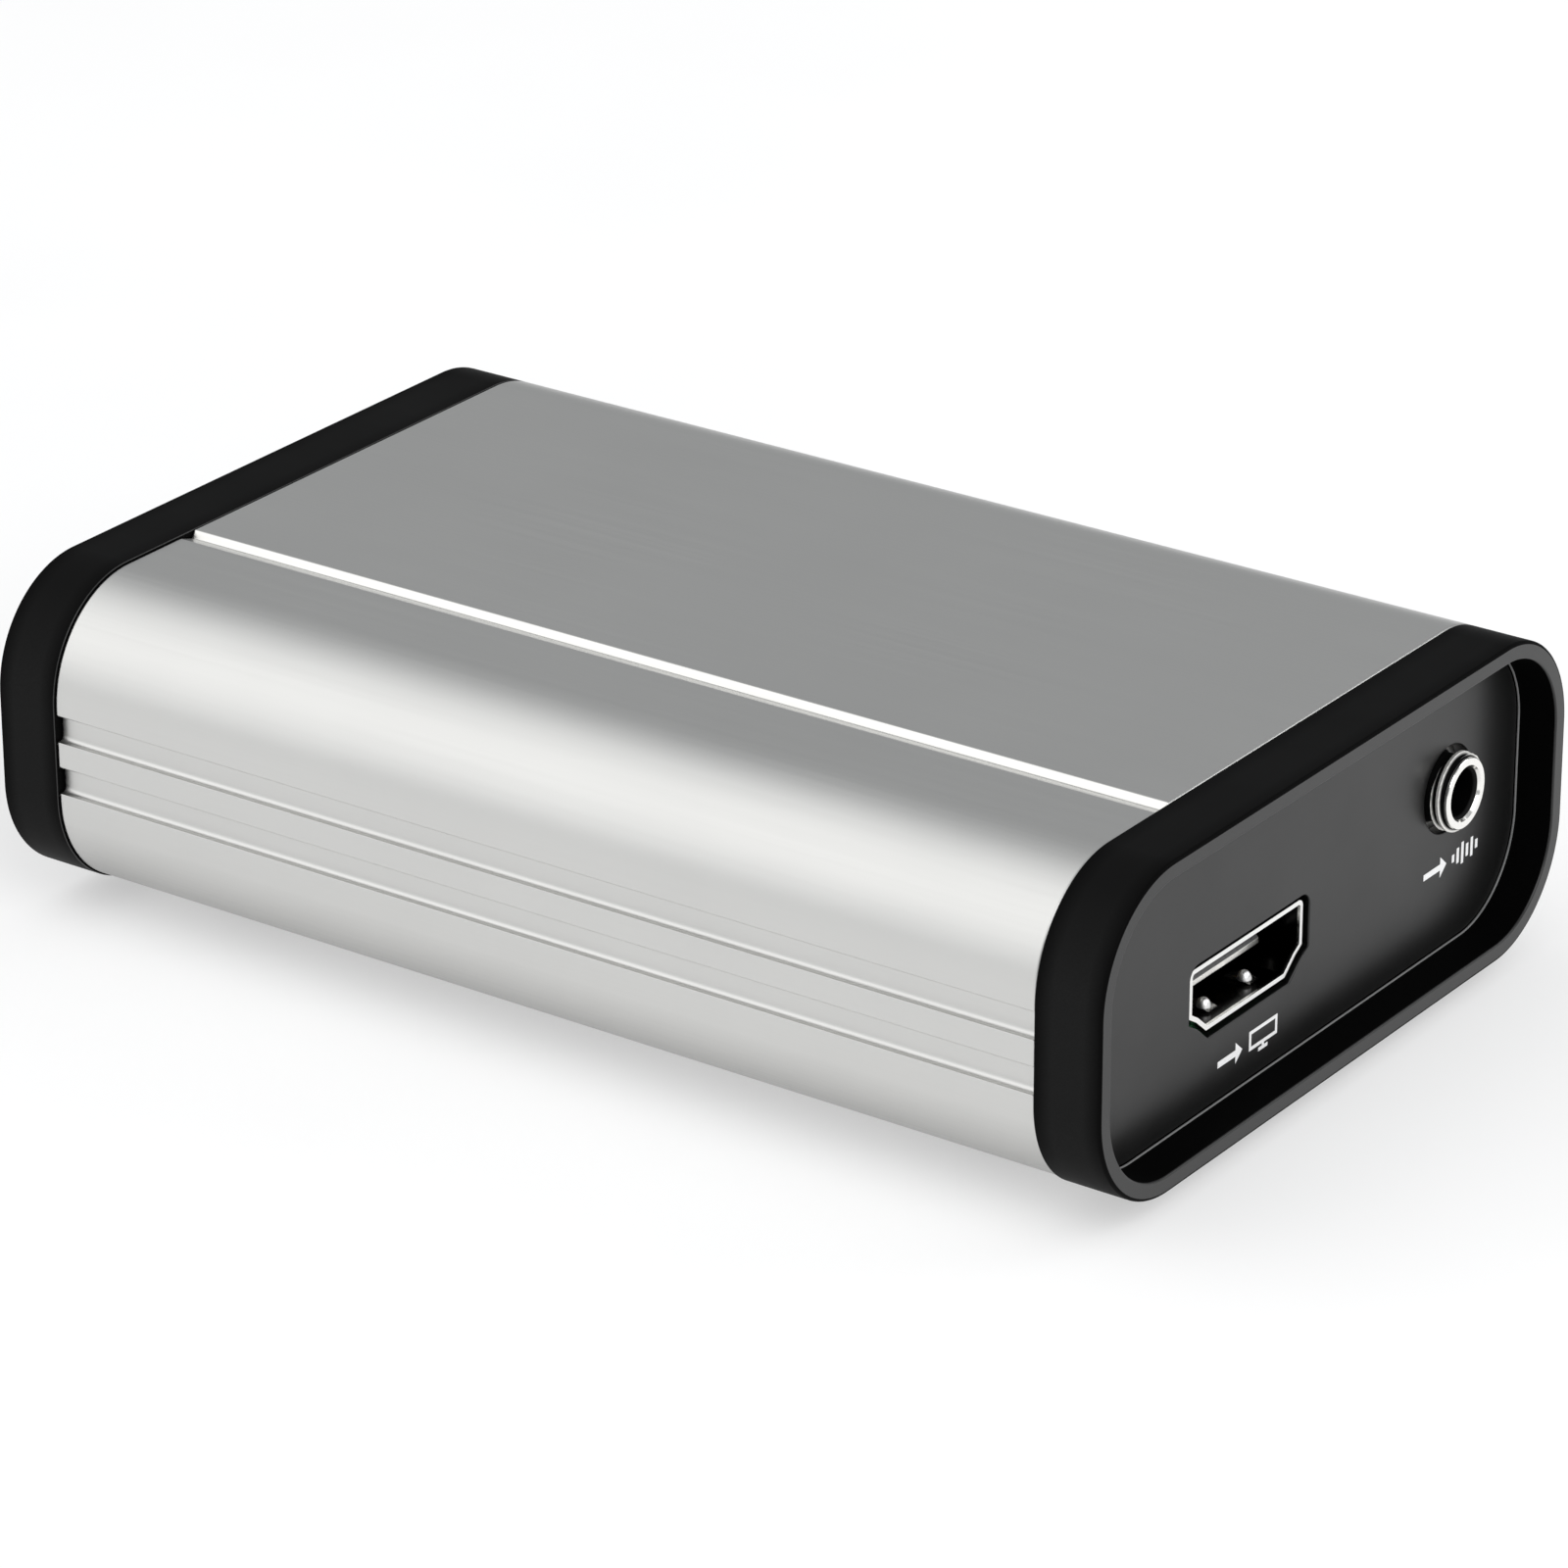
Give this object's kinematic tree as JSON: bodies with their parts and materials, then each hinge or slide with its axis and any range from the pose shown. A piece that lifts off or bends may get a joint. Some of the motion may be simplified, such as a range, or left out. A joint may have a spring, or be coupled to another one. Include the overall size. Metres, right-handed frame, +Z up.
{
  "type": "video capture box",
  "caption": "Desktop video capture box: a grooved extruded metal sleeve between moulded end bezels, with video and audio inputs in a recessed panel and a data socket at the far end.",
  "frame": {"origin": "middle of the footprint, on the plane that the four feet stand on", "axes": "+X along the case towards the input panel, +Y from the grooved front with the step in its top to the back, +Z up"},
  "size_m": [0.0962, 0.0618, 0.0267],
  "materials": {
    "sleeve_aluminium": "satin anodised, faintly brushed along the extrusion",
    "bezel_plastic": "fine matt texture, black",
    "panel_plastic": "satin charcoal",
    "socket_steel": "nickel-plated stamped steel",
    "insulator_plastic": "black moulded insulator",
    "contact_metal": "gold-plated spring brass",
    "bush_metal": "nickel-plated brass",
    "board_laminate": "glass laminate under green solder resist",
    "chip_plastic": "black moulding compound",
    "clear_plastic": "clear moulded light guide",
    "led_plastic": "white diffusing plastic",
    "can_aluminium": "drawn can",
    "crystal_steel": "plated lid",
    "ferrite": "pressed ferrite powder",
    "chip_ceramic": "fired ceramic with tinned ends",
    "foot_rubber": "matt black rubber"
  },
  "bodies": {
    "root": {"sleeve": "sleeve_aluminium", "input_bezel": "bezel_plastic", "output_bezel": "bezel_plastic", "input_panel": "panel_plastic", "output_panel": "panel_plastic", "main_board": "board_laminate", "video_socket_shell": "socket_steel", "video_socket_tongue": "insulator_plastic", "video_socket_contacts": "contact_metal", "audio_jack_body": "insulator_plastic", "audio_jack_bush": "bush_metal", "audio_jack_tip_spring": "contact_metal", "audio_jack_ring_spring": "contact_metal", "data_socket_shell": "socket_steel", "data_socket_tongue": "insulator_plastic", "data_socket_contacts": "contact_metal", "light_pipe": "clear_plastic", "status_led": "led_plastic", "receiver_chip": "chip_plastic", "bridge_chip": "chip_plastic", "memory_chip": "chip_plastic", "codec_chip": "chip_plastic", "flash_chip": "chip_plastic", "voltage_regulator": "chip_plastic", "surge_arrays": "chip_plastic", "chip_capacitors": "chip_ceramic", "chip_resistors": "chip_ceramic", "power_inductor_1": "ferrite", "power_inductor_2": "ferrite", "crystal_1": "crystal_steel", "crystal_2": "crystal_steel", "bulk_capacitor_1": "can_aluminium", "bulk_capacitor_2": "can_aluminium", "bulk_capacitor_3": "can_aluminium", "foot_front_left": "foot_rubber", "foot_front_right": "foot_rubber", "foot_rear_left": "foot_rubber", "foot_rear_right": "foot_rubber"}
  },
  "joints": []
}
